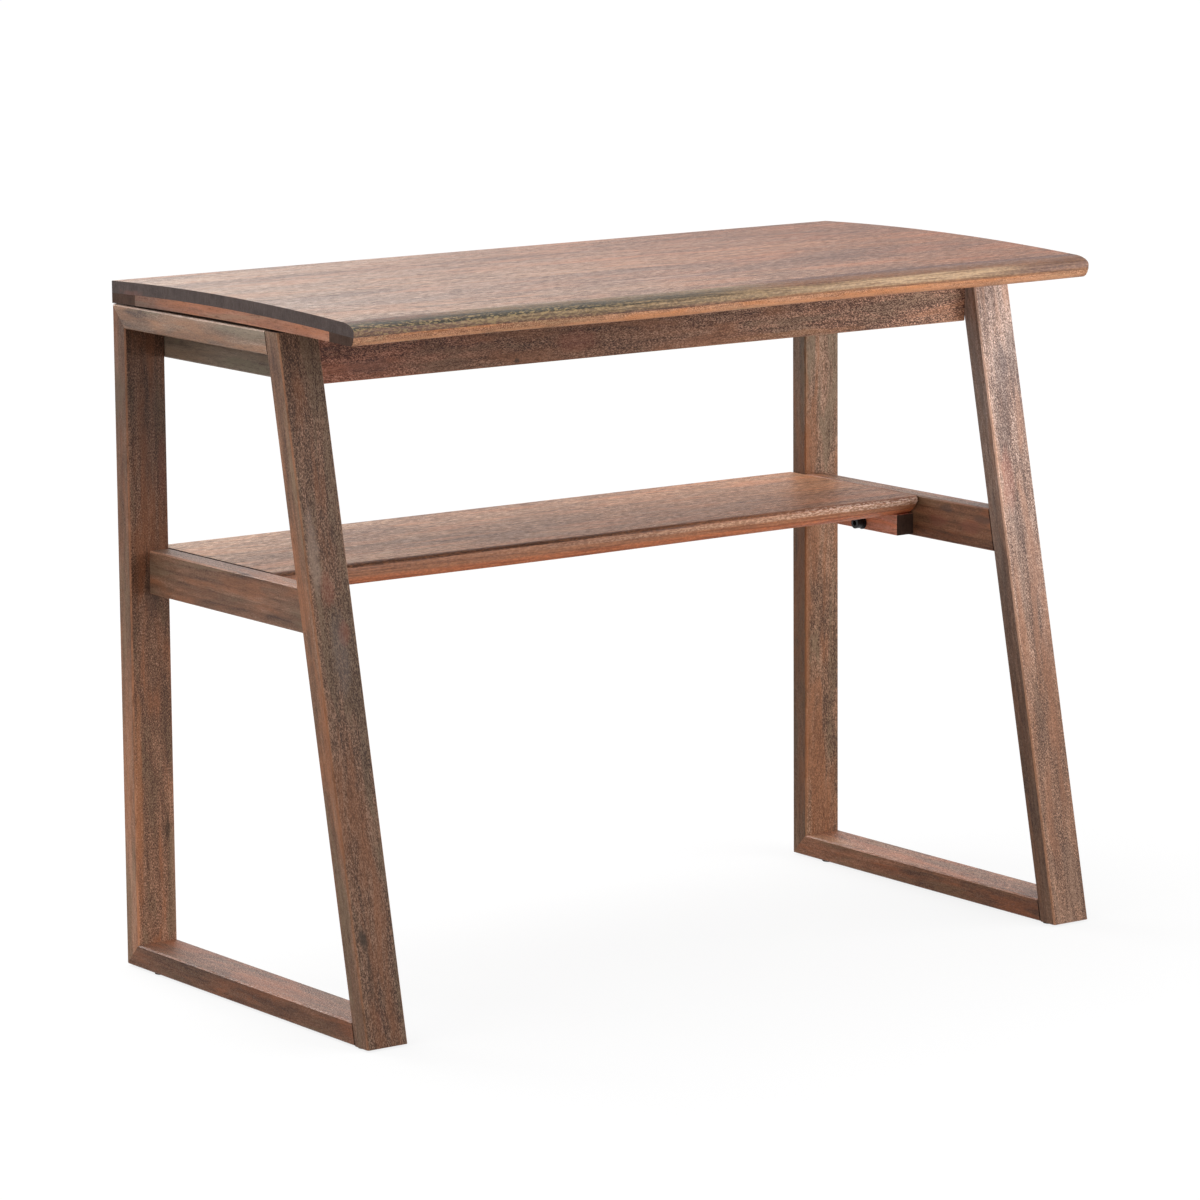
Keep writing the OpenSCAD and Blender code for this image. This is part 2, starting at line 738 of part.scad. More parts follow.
top_back_board();
top_second_board();
top_middle_board();
top_fourth_board();
top_front_board();
top_back_strip();
top_front_strip();
end_strip(-1);  // top_left_strip
end_strip(1);  // top_right_strip
front_apron();
back_apron();
side_apron(-1);  // left_apron
side_apron(1);  // right_apron
back_leg(-1);  // left_back_leg
front_leg(-1);  // left_front_leg
top_rail(-1);  // left_top_rail
bottom_rail(-1);  // left_bottom_rail
mid_rail(-1);  // left_mid_rail
back_leg(1);  // right_back_leg
front_leg(1);  // right_front_leg
top_rail(1);  // right_top_rail
bottom_rail(1);  // right_bottom_rail
mid_rail(1);  // right_mid_rail
shelf_back_board();
shelf_middle_board();
shelf_front_board();
shelf_cleat(-1);  // left_shelf_cleat
shelf_cleat(1);  // right_shelf_cleat
frame_dowels(-1);  // left_frame_dowels
frame_dowels(1);  // right_frame_dowels
apron_dowels();
top_screws();
shelf_screws();
bolts();
flat_washers();
spring_washers();
threaded_inserts();
foot(-1, y_back - foot_back);  // back_left_foot
foot(1, y_back - foot_back);  // back_right_foot
foot(-1, y_foot + foot_front);  // front_left_foot
foot(1, y_foot + foot_front);  // front_right_foot
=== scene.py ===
"""Looks of the writing desk: stained hardwood with live edges, black bolts, studio light and camera."""
import math

import bpy
from mathutils import Matrix, Vector

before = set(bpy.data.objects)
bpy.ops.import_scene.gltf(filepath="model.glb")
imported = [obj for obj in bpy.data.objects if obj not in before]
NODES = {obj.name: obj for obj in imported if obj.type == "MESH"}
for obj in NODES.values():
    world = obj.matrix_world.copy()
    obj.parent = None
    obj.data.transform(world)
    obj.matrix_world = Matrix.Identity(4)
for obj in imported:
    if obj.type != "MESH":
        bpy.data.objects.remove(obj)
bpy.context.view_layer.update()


def reach(node, axis):
    """Lowest and highest coordinate of a piece along an axis of the desk, 0 to 2, in metres."""
    places = [corner[axis] for corner in NODES[node].bound_box]
    return min(places), max(places)


# Places on the desk in metres that the looks follow. The worktop's face is taken at its front edge.
FRONT_EDGE = -0.238
TOP_FACE = 0.7575
SHELF_FACE = reach("shelf_front_board", 2)[1]
LEFT_ARRIS = reach("left_back_leg", 0)[0]
RIGHT_ARRIS = reach("right_back_leg", 0)[0]

# Slant of the front legs: metres to the back over metres up
LEG_RUN = 0.151
LEG_RISE = 0.733


# Shader trees

class Tree:
    """Adds nodes to a node tree, one call each, and returns their outputs. A value is a socket, which is
    linked, or a plain number or vector. Below, t is always such a Tree, and o is a Blender object."""

    def __init__(self, tree):
        self.tree = tree

    def put(self, socket, value):
        """Links or sets an input. One number fills a vector, and three numbers fill a colour."""
        if isinstance(value, bpy.types.NodeSocket):
            self.tree.links.new(value, socket)
        elif value is not None:
            size = len(socket.default_value) if hasattr(socket.default_value, "__len__") else 0
            if size and not hasattr(value, "__len__"):
                value = [value] * size
            elif size == 4 and len(value) == 3:
                value = (*value, 1.0)
            socket.default_value = value

    def node(self, kind, **settings):
        node = self.tree.nodes.new(kind)
        for name, value in settings.items():
            setattr(node, name, value)
        return node

    def math(self, operation, *values):
        node = self.node("ShaderNodeMath", operation=operation)
        for socket, value in zip(node.inputs, values):
            self.put(socket, value)
        return node.outputs[0]

    def times(self, a, b):
        return self.math("MULTIPLY", a, b)

    def times_plus(self, a, b, c):
        return self.math("MULTIPLY_ADD", a, b, c)

    def sway(self, noise, amount, value):
        """The value, moved up and down by a noise that lies round 0.5."""
        return self.times_plus(self.math("SUBTRACT", noise, 0.5), amount, value)

    def vector(self, operation, a, b=None):
        node = self.node("ShaderNodeVectorMath", operation=operation)
        self.put(node.inputs[0], a)
        self.put(node.inputs[1], b)
        return node.outputs["Value" if operation in ("LENGTH", "DOT_PRODUCT") else "Vector"]

    def dye(self, colour, stain):
        """A colour times a stain, red by red, green by green and blue by blue."""
        return self.vector("MULTIPLY", colour, stain)

    def scale(self, colour, by):
        """A colour, lighter or darker by a factor."""
        node = self.node("ShaderNodeVectorMath", operation="SCALE")
        self.put(node.inputs[0], colour)
        self.put(node.inputs["Scale"], by)
        return node.outputs["Vector"]

    def split(self, v):
        node = self.node("ShaderNodeSeparateXYZ")
        self.put(node.inputs[0], v)
        return node.outputs

    def join(self, x, y, z):
        node = self.node("ShaderNodeCombineXYZ")
        for socket, value in zip(node.inputs, (x, y, z)):
            self.put(socket, value)
        return node.outputs[0]

    def noise(self, place, cells, detail=2.0, rough=0.5, warp=0.0, shift=None):
        """Noise from 0 to 1, with so many cells a metre. shift takes it from another spot."""
        if shift:
            place = self.vector("ADD", place, shift)
        node = self.node("ShaderNodeTexNoise", noise_dimensions="3D")
        self.put(node.inputs["Vector"], self.vector("MULTIPLY", place, cells))
        self.put(node.inputs["Scale"], 1.0)
        self.put(node.inputs["Detail"], detail)
        self.put(node.inputs["Roughness"], rough)
        self.put(node.inputs["Distortion"], warp)
        return node.outputs[0]

    def span(self, v, start, end, low=0.0, high=1.0, smooth=True):
        """Goes from low to high while v goes from start to end, and stays there outside."""
        steps = "SMOOTHSTEP" if smooth else "LINEAR"
        node = self.node("ShaderNodeMapRange", interpolation_type=steps, clamp=True)
        for socket, value in zip(node.inputs, (v, start, end, low, high)):
            self.put(socket, value)
        return node.outputs[0]

    def between(self, v, low, high, soft):
        """1 where v lies between low and high, with soft limits."""
        return self.times(self.span(v, low - soft, low + soft), self.span(v, high + soft, high - soft))

    def mix(self, amount, a, b):
        """From colour a to colour b by the amount. Sockets 6, 7 and 2 are the node's colour sockets."""
        node = self.node("ShaderNodeMix", data_type="RGBA", clamp_factor=True)
        self.put(node.inputs[0], amount)
        self.put(node.inputs[6], a)
        self.put(node.inputs[7], b)
        return node.outputs[2]


# Strength of every bump, and the depth of the wood's bump in metres
BUMP_STRENGTH = 0.7
WOOD_DEPTH = 0.0003


def new_material(name):
    """An empty material and the Tree of its nodes."""
    material = bpy.data.materials.new(name)
    material.use_nodes = True
    material.node_tree.nodes.clear()
    return material, Tree(material.node_tree)


def principled(t, colour, rough, height, depth, **other):
    """A surface with a bump depth metres deep. other names further inputs, with _ in place of spaces."""
    bump = t.node("ShaderNodeBump")
    t.put(bump.inputs["Distance"], depth)
    t.put(bump.inputs["Strength"], BUMP_STRENGTH)
    t.put(bump.inputs["Height"], height)
    shader = t.node("ShaderNodeBsdfPrincipled")
    t.put(shader.inputs["Base Color"], colour)
    t.put(shader.inputs["Roughness"], rough)
    t.put(shader.inputs["Normal"], bump.outputs[0])
    for name, value in other.items():
        t.put(shader.inputs[name.replace("_", " ")], value)
    t.put(t.node("ShaderNodeOutputMaterial").inputs[0], shader.outputs[0])
    return shader


def paint(node, material):
    materials = NODES[node].data.materials
    materials.clear()
    materials.append(material)


# Wood

# Inputs of the hardwood group by their kind. Grain is the place in grain space, End and Arris are 1 on end
# grain and on arrises, Dots under 1 draws the speckle out along the grain, the other numbers weigh the
# figure, and the colours are the stain.
WOOD_INPUTS = {
    "Vector": ("Grain",),
    "Float": ("End", "Arris", "Ringing", "Speckle", "Streaks", "Mottle", "Dots"),
    "Color": ("Light", "Middle", "Dark", "Warm", "Cool"),
}
WOOD_OUTPUTS = (("Color", "Color"), ("Roughness", "Float"), ("Height", "Float"))

# Place of the pith in grain space, growth rings a metre, and the stain that end grain takes up
PITH = (0.0, 0.031, -0.052)
RINGS = 135.0
END_STAIN = (0.06, 0.034, 0.025)

# Step in grain space from one seed to the next, so that no two pieces are cut from the same spot
SEED_STEP = (0.37, 0.113, 0.071)


def growth_rings(t, place):
    """Late wood of the rings, 0 to 1, round a pith that wanders slowly along the grain."""
    wander = t.noise(place, (1.3, 9.0, 9.0))
    across = t.vector("MULTIPLY", t.vector("SUBTRACT", place, PITH), (0.0, 1.0, 1.0))
    radius = t.times_plus(wander, 0.06, t.vector("LENGTH", across))
    ring = t.math("FRACT", t.times(radius, RINGS))
    return t.times(t.math("POWER", ring, 3.0), t.span(ring, 0.985, 0.88))


def stained(t, given, place, value):
    """The stain from dark to light by the value, with drifts to its warm and cool tones."""
    hue = t.noise(place, (7.0, 45.0, 45.0), 3.0, 0.6, 0.4, shift=(3.1, 1.7, 0.4))
    colour = t.mix(t.span(value, 0.0, 0.5, smooth=False), given["Dark"], given["Middle"])
    colour = t.mix(t.span(value, 0.5, 1.1, smooth=False), colour, given["Light"])
    tinge = t.times(t.span(hue, 0.49, 0.62), 0.75)
    colour = t.mix(tinge, colour, t.mix(0.5, given["Warm"], colour))
    warm = t.times(t.span(hue, 0.55, 0.7), t.span(value, 0.2, 0.6))
    colour = t.mix(t.times(warm, 0.6), colour, given["Warm"])
    cool = t.times(t.span(hue, 0.49, 0.37), t.span(value, 0.1, 0.5))
    return t.mix(t.times(cool, 0.65), colour, given["Cool"])


def wood_group():
    """Solid hardwood in grain space, metres with X along the grain, for every side of a piece."""
    group = bpy.data.node_groups.new("hardwood", "ShaderNodeTree")
    for kind, names in WOOD_INPUTS.items():
        for name in names:
            group.interface.new_socket(name, in_out="INPUT", socket_type="NodeSocket" + kind)
    for name, kind in WOOD_OUTPUTS:
        group.interface.new_socket(name, in_out="OUTPUT", socket_type="NodeSocket" + kind)
    t = Tree(group)
    given = t.node("NodeGroupInput").outputs
    place = given["Grain"]

    # The figure: broad tones, patches, streaks along the grain, dashes, speckle, flecks, pores and rings
    tone = t.noise(place, (1.8, 15.0, 15.0))
    patch = t.noise(place, (10.0, 60.0, 60.0), warp=0.6, shift=(7.3, 2.2, 1.9))
    streak = t.noise(place, (7.0, 230.0, 230.0), 3.0, 0.6)
    dash = t.noise(place, (75.0, 420.0, 420.0), 2.0, 0.6, shift=(1.0, 4.0, 6.0))
    dots = t.vector("MULTIPLY", place, t.join(given["Dots"], 1.0, 1.0))
    speckle = t.span(t.noise(dots, (800.0, 1100.0, 1100.0), 1.0, 0.75, 0.5), 0.38, 0.7)
    fleck = t.noise(place, (230.0, 330.0, 330.0), 2.0, 0.7, shift=(2.0, 1.0, 3.0))
    pores = t.span(t.noise(place, (90.0, 1100.0, 1100.0), shift=(0.0, 5.0, 2.0)), 0.57, 0.66)
    late = t.math("ADD", growth_rings(t, place), 0.3)

    # How light the wood is
    value = t.sway(tone, 1.1, 0.56)
    for part, weight in (
        (patch, t.times(given["Mottle"], 1.5)),
        (streak, t.times(given["Streaks"], 1.3)),
        (dash, t.times(given["Streaks"], 1.5)),
        (speckle, t.times(given["Speckle"], 2.0)),
        (fleck, t.times(given["Speckle"], 0.12)),
        (late, t.times(given["Ringing"], -0.5)),
    ):
        value = t.sway(part, weight, value)
    colour = stained(t, given, place, value)
    colour = t.mix(t.times(pores, 0.45), colour, given["Dark"])

    # End grain drinks more stain
    fibres = t.noise(place, (30.0, 700.0, 120.0), 3.0, 0.6)
    grey = t.times_plus(speckle, 0.12, t.times(patch, 0.6))
    grey = t.math("ADD", t.times(fibres, 0.8), grey)
    ends = t.scale(END_STAIN, t.span(grey, 0.4, 1.1, 0.55, 1.5, smooth=False))
    colour = t.mix(given["End"], colour, ends)

    # Arrises are painted lighter here and there, a painted highlight
    arris_glints = t.span(t.noise(place, (28.0, 90.0, 90.0), 3.0, 0.6), 0.3, 0.6)
    arris_glints = t.times(t.times(given["Arris"], arris_glints), 0.6)
    colour = t.mix(arris_glints, colour, t.mix(0.5, given["Light"], given["Warm"]))

    # Light specks are smoother and pores and end grain rougher than the rest
    rough = t.sway(speckle, -0.22, 0.45)
    rough = t.times_plus(pores, 0.15, rough)
    rough = t.times_plus(given["End"], 0.2, rough)
    height = t.times_plus(pores, -0.7, t.times(streak, 0.4))
    height = t.times_plus(speckle, 0.4, height)
    for socket, value in zip(t.node("NodeGroupOutput").inputs, (colour, rough, height)):
        t.put(socket, value)
    return group


HARDWOOD = wood_group()

# Turns of the grain: X of grain space lies along X, Y or Z of the desk, or along the slanted leg
LEAN = math.atan2(LEG_RUN, LEG_RISE)
ALONG_X = Matrix.Identity(3)
ALONG_Y = Matrix(((0, 1, 0), (-1, 0, 0), (0, 0, 1)))
ALONG_Z = Matrix(((0, 0, 1), (0, 1, 0), (-1, 0, 0)))
ALONG_LEG = Matrix((
    (0, math.sin(LEAN), math.cos(LEAN)),
    (0, math.cos(LEAN), -math.sin(LEAN)),
    (-1, 0, 0),
))

NO_TINT = (1.0, 1.0, 1.0)


def wood(name, turn, seed, tones, tint_and_light=NO_TINT, layers=(), ringing=0.4, speckle=0.5,
         streaks=0.5, mottle=0.5, dots=1.0, shine=(0.15, 0.6)):
    """A material for one piece. turn lays its grain, seed picks its spot in the wood, tint scales its
    stain and on some pieces is painted light, and each of the layers, called as layer(t, coords, place,
    colour), repaints it. dots under 1 draws the speckle out along the grain. shine is the specular level
    on the sides and on upper faces."""
    material, t = new_material(name)
    coords = t.node("ShaderNodeTexCoord").outputs
    rows = [tuple(row) for row in turn]
    place = t.join(*[t.vector("DOT_PRODUCT", coords["Object"], row) for row in rows])
    place = t.vector("ADD", place, [step * seed for step in SEED_STEP])
    facing_grain = t.join(*[t.vector("DOT_PRODUCT", coords["Normal"], row) for row in rows])
    along, across, up = t.split(t.vector("ABSOLUTE", facing_grain))
    end = t.span(along, 0.8, 0.92)
    arris = t.span(t.math("MAXIMUM", t.math("MAXIMUM", along, across), up), 0.93, 0.8)

    # Faces to the left, the right and the back show less speckle
    nx, ny, nz = t.split(coords["Normal"])
    calm = t.math("MAXIMUM", t.math("ABSOLUTE", nx), t.times(ny, 0.8))
    calm = t.times_plus(calm, -0.65 * speckle, speckle)

    grain = t.node("ShaderNodeGroup", node_tree=HARDWOOD)
    given = {"Grain": place, "End": end, "Arris": arris, "Ringing": ringing, "Speckle": calm,
             "Streaks": streaks, "Mottle": mottle, "Dots": dots}
    for socket, tone in zip(WOOD_INPUTS["Color"], tones):
        given[socket] = [min(1.0, channel * share) for channel, share in zip(tone, tint_and_light)]
    for socket, value in given.items():
        t.put(grain.inputs[socket], value)
    colour, rough, height = grain.outputs
    for layer in layers:
        colour = layer(t, coords, place, colour)

    gloss = t.times(t.span(nz, 0.3, 0.9, *shine), t.times_plus(end, -0.7, 1.0))
    shader = principled(t, colour, rough, height, WOOD_DEPTH, Specular_IOR_Level=gloss)
    # A plain value for readers of the shader that don't follow links
    shader.inputs["Specular IOR Level"].default_value = sum(shine) / 2
    return material


# Stain tones, linear: light, middle, dark, warm, cool
FRAME = ((0.405, 0.235, 0.155), (0.186, 0.098, 0.057), (0.064, 0.034, 0.023),
         (0.3, 0.122, 0.056), (0.177, 0.125, 0.077))
ROSE = ((0.4, 0.22, 0.15), (0.18, 0.09, 0.055), (0.062, 0.03, 0.021),
        (0.26, 0.11, 0.06), (0.17, 0.1, 0.07))
APRON = ((0.36, 0.18, 0.11), (0.172, 0.075, 0.043), (0.045, 0.02, 0.014),
         (0.245, 0.095, 0.046), (0.155, 0.092, 0.055))
DULL = ((0.25, 0.2, 0.16), (0.13, 0.1, 0.078), (0.05, 0.036, 0.028),
        (0.17, 0.12, 0.085), (0.125, 0.112, 0.08))
TOP = ((0.35, 0.195, 0.12), (0.2, 0.103, 0.062), (0.075, 0.036, 0.024),
       (0.3, 0.132, 0.072), (0.2, 0.118, 0.08))
STRIP = ((0.44, 0.2, 0.12), (0.3, 0.12, 0.065), (0.1, 0.036, 0.02),
         (0.42, 0.14, 0.055), (0.25, 0.14, 0.08))
BEECH = ((0.62, 0.45, 0.28), (0.52, 0.36, 0.22), (0.3, 0.19, 0.11),
         (0.5, 0.33, 0.2), (0.5, 0.38, 0.24))

# Share of the stain in each piece, red, green and blue. For the right shelf cleat and the shelf's boards
# it is also painted light.
STAIN_AND_PAINTED_LIGHT = {
    "top_second_board": (0.93, 0.92, 0.92),
    "top_middle_board": (1.06, 1.05, 1.03),
    "top_fourth_board": (0.95, 0.95, 0.97),
    "top_front_board": (1.03, 1.02, 1.0),
    "top_front_strip": (1.6, 1.9, 1.9),
    "left_apron": (1.45, 1.35, 1.25),
    # Painted light: the right shelf cleat is lighter to make up for the shade it lies in
    "right_shelf_cleat": (2.45, 2.5, 3.0),
    "left_front_leg": (0.82, 0.79, 0.79),
    "left_back_leg": (0.92, 0.9, 0.92),
    "left_top_rail": (1.16, 1.4, 1.65),
    "left_mid_rail": (0.92, 0.88, 0.9),
    "left_bottom_rail": (0.8, 0.66, 0.6),
    "right_back_leg": (1.09, 1.1, 1.1),
    "right_front_leg": (1.06, 1.12, 1.13),
    "right_mid_rail": (1.25, 1.0, 0.85),
    "right_bottom_rail": (1.06, 0.84, 0.74),
    # Painted light: the shelf's boards are lighter to make up for the shade under the worktop
    "shelf_back_board": (2.0, 2.0, 1.92),
    "shelf_middle_board": (2.0, 1.95, 1.85),
    "shelf_front_board": (2.0, 1.92, 1.85),
}


# Live edges

# Tones of the worktop's nose from left to right, of its upper part and foot, and of its lines
BROWN = (0.25, 0.125, 0.08)
OLIVE = (0.3, 0.19, 0.095)
CREAM = (0.52, 0.34, 0.2)
RED_BROWN = (0.25, 0.13, 0.09)
RUST = (0.32, 0.14, 0.07)
FOOT_LEFT = (0.2, 0.096, 0.06)
FOOT_RIGHT = (0.33, 0.15, 0.07)
BLACK_BROWN = (0.02, 0.015, 0.008)
YELLOW = (0.27, 0.19, 0.085)
SAPWOOD = (0.22, 0.14, 0.075)
DARK_RED = (0.06, 0.02, 0.012)

# Tones of the shelf's nose. The pink one and the fair one paint its highlights, and the fair one also
# marks a leg
NOSE = (0.3, 0.12, 0.057)
NOSE_FOOT = (0.4, 0.125, 0.05)
HIGHLIGHT_PINK = (0.48, 0.3, 0.2)
DARK_ARRIS = (0.05, 0.022, 0.012)
FAIR = (0.5, 0.36, 0.29)


class Edge:
    """Measures on a live front edge below a face at face_z: x, y, the drop below the face with ragged
    limits, strands along the grain, fine grit and flecks, slow waves, and where the edge is rounded."""

    def __init__(self, t, coords, place, face_z, ragged):
        self.x, self.y, z = t.split(coords["Object"])
        nx, ny, _ = t.split(coords["Normal"])
        self.strands = t.noise(place, (8.0, 430.0, 430.0), 3.0, 0.62)
        self.grit = t.noise(place, (190.0, 560.0, 560.0), 2.0, 0.75)
        self.flecks = t.span(self.grit, 0.42, 0.62)
        self.waves = t.noise(t.join(self.x, 0.0, 0.0), (5.0, 1.0, 1.0))
        drop = t.sway(self.strands, ragged, t.math("SUBTRACT", face_z, z))
        self.drop = t.sway(self.waves, 0.7 * ragged, drop)
        self.rounded = t.times(t.span(ny, -0.05, -0.1), t.span(t.math("ABSOLUTE", nx), 0.9, 0.75))


def top_nose(t, e):
    """The worktop's nose: dark with yellow flecks at the left, then olive, and cream at the right."""
    x = e.x
    nose = t.mix(t.span(x, -0.42, -0.3), BROWN, OLIVE)
    nose = t.mix(t.span(x, -0.02, 0.22), nose, CREAM)
    nose = t.mix(t.span(x, 0.34, 0.42), nose, RED_BROWN)
    upper = t.times(t.span(e.drop, 0.004, 0.0015), t.span(x, -0.02, 0.1))
    nose = t.mix(upper, nose, RUST)
    foot = t.mix(t.span(x, -0.1, 0.1), FOOT_LEFT, FOOT_RIGHT)
    nose = t.mix(t.span(e.drop, 0.0095, 0.0125), nose, foot)
    nose = t.mix(t.span(e.strands, 0.5, 0.42, 0.0, 0.75), nose, t.dye(nose, (0.5, 0.42, 0.38)))

    # Flecks stand out more at the left. The upper part, which faces the light, is painted darker, a
    # painted shade against that light
    contrast = t.times(t.span(x, -0.1, 0.1, 0.36, 0.2), t.times_plus(e.flecks, 2.0, -1.05))
    nose = t.scale(nose, t.math("ADD", 1.0, contrast))
    nose = t.scale(nose, t.span(e.drop, 0.0, 0.009, 0.48, 0.9))

    # A nearly black band under the face at the left, with yellow sparks on it
    low = t.span(x, -0.42, -0.3, 0.009, 0.006)
    band = t.times(t.span(e.drop, low, t.math("SUBTRACT", low, 0.0015)),
                   t.span(e.drop, -0.0002, 0.0003))
    band = t.times(band, t.span(x, 0.05, -0.12))
    band = t.times(band, t.span(e.strands, 0.58, 0.48, 0.35, 1.0))
    nose = t.mix(band, nose, BLACK_BROWN)
    sparks = t.times(t.span(e.grit, 0.5, 0.6), t.span(e.drop, 0.0005, 0.003))
    return t.mix(t.times(sparks, t.span(x, -0.1, -0.25, 0.15, 0.8)), nose, YELLOW)


def top_edge(t, coords, place, colour):
    """The worktop's front edge: the nose, a sapwood hem on the face, and a red line further right."""
    e = Edge(t, coords, place, TOP_FACE, 0.005)
    colour = t.mix(e.rounded, colour, top_nose(t, e))
    hem = t.sway(e.waves, -0.018, t.math("SUBTRACT", e.y, FRONT_EDGE))
    hem = t.sway(e.strands, 0.012, hem)
    pale = t.times(t.span(hem, 0.028, 0.016), t.between(e.x, -0.12, 0.04, 0.05))
    pale = t.times(pale, t.math("SUBTRACT", 0.6, t.times(e.rounded, 0.6)))
    colour = t.mix(pale, colour, SAPWOOD)
    line = t.times(t.between(hem, 0.024, 0.036, 0.002), t.span(e.x, 0.0, 0.1, 0.0, 0.85))
    return t.mix(line, colour, DARK_RED)


def shelf_edge(t, coords, place, colour):
    """The shelf's front edge: a dark upper arris, a brown nose with a painted pink highlight, painted
    glints at the right, orange below, and painted lighter towards the right.
    """
    e = Edge(t, coords, place, SHELF_FACE, 0.003)
    nose = t.mix(t.span(e.drop, 0.013, 0.017), NOSE, NOSE_FOOT)
    nose = t.mix(t.span(e.strands, 0.5, 0.42, 0.0, 0.7), nose, t.dye(nose, (0.55, 0.45, 0.4)))
    # Painted highlight: a pink band along the middle of the nose, stronger to the right
    glow = t.times(t.between(e.drop, 0.0045, 0.0095, 0.0015), t.span(e.x, -0.25, 0.2, 0.05, 0.7))
    nose = t.mix(t.times(glow, t.span(e.flecks, 0.0, 1.0, 0.4, 1.0)), nose, HIGHLIGHT_PINK)
    # Painted glints: fair flecks on the upper nose at the right
    painted_glints = t.times(t.between(e.drop, 0.001, 0.009, 0.001), t.span(e.x, 0.2, 0.34, 0.0, 0.85))
    nose = t.mix(t.times(painted_glints, e.flecks), nose, FAIR)
    dark = t.times(t.between(e.drop, 0.0001, 0.0036, 0.0006), t.span(e.x, 0.35, -0.1, 0.35, 0.9))
    nose = t.mix(t.times(dark, t.times_plus(e.flecks, -0.4, 0.97)), nose, DARK_ARRIS)
    nose = t.mix(e.flecks, t.scale(nose, 0.85), t.scale(nose, 1.2))
    # Painted light: the nose grows lighter towards the right
    nose = t.scale(nose, t.span(e.x, 0.0, 0.4, 1.0, 1.45))
    return t.mix(e.rounded, colour, nose)


# Layers: each function returns a layer that repaints a piece

def drift(axis, start, end, first, last):
    """Colour scaled from first to last along an axis of the desk, 0 to 2. It carries stain, and also
    painted light, shade and sheen.
    """
    def layer(t, coords, place, colour):
        at = t.sway(t.noise(place, (6.0, 30.0, 30.0)), 0.2, t.split(coords["Object"])[axis])
        return t.dye(colour, t.mix(t.span(at, start, end, smooth=False), first, last))
    return layer


def painted_face_light(axis, amount):
    """Painted light and shade: lighter or darker colour on the faces across an axis of the desk, 0 to 2,
    by how light falls on them.
    """
    def layer(t, coords, place, colour):
        turned = t.span(t.math("ABSOLUTE", t.split(coords["Normal"])[axis]), 0.6, 0.9)
        return t.scale(colour, t.times_plus(turned, amount - 1.0, 1.0))
    return layer


def arris_highlight_line(arris_x):
    """A painted highlight: a lighter line along the arris at arris_x, on the front faces."""
    def layer(t, coords, place, colour):
        width = t.times_plus(t.noise(place, (22.0, 60.0, 60.0), 3.0, 0.6), 0.003, 0.001)
        away = t.math("ABSOLUTE", t.math("SUBTRACT", t.split(coords["Object"])[0], arris_x))
        band = t.times(t.span(t.math("SUBTRACT", away, width), 0.001, -0.001),
                       t.span(t.split(coords["Normal"])[1], -0.5, -0.8))
        return t.mix(t.times(band, 0.5), colour, t.dye(colour, (1.7, 1.55, 1.4)))
    return layer


def blots(marks):
    """Knots, patches, streaks and a spot of painted shade. Each mark is a centre, three radii, a tone and
    an amount.
    """
    def layer(t, coords, place, colour):
        ragged = t.noise(place, (45.0, 130.0, 130.0), 3.0, 0.6)
        for centre, radii, tone, amount in marks:
            away = t.vector("SUBTRACT", coords["Object"], centre)
            away = t.vector("LENGTH", t.vector("MULTIPLY", away, [1.0 / radius for radius in radii]))
            away = t.sway(ragged, 1.3, away)
            colour = t.mix(t.span(away, 1.15, 0.45, 0.0, amount), colour, tone)
        return colour
    return layer


# Tones of the marks
KNOT = (0.035, 0.022, 0.014)
RED = (0.24, 0.075, 0.045)
GREY = (0.15, 0.115, 0.1)
SMOKE = (0.075, 0.045, 0.035)
ORANGE = (0.3, 0.12, 0.05)
PALE_PINK = (0.4, 0.26, 0.19)
PLUM = (0.14, 0.07, 0.06)

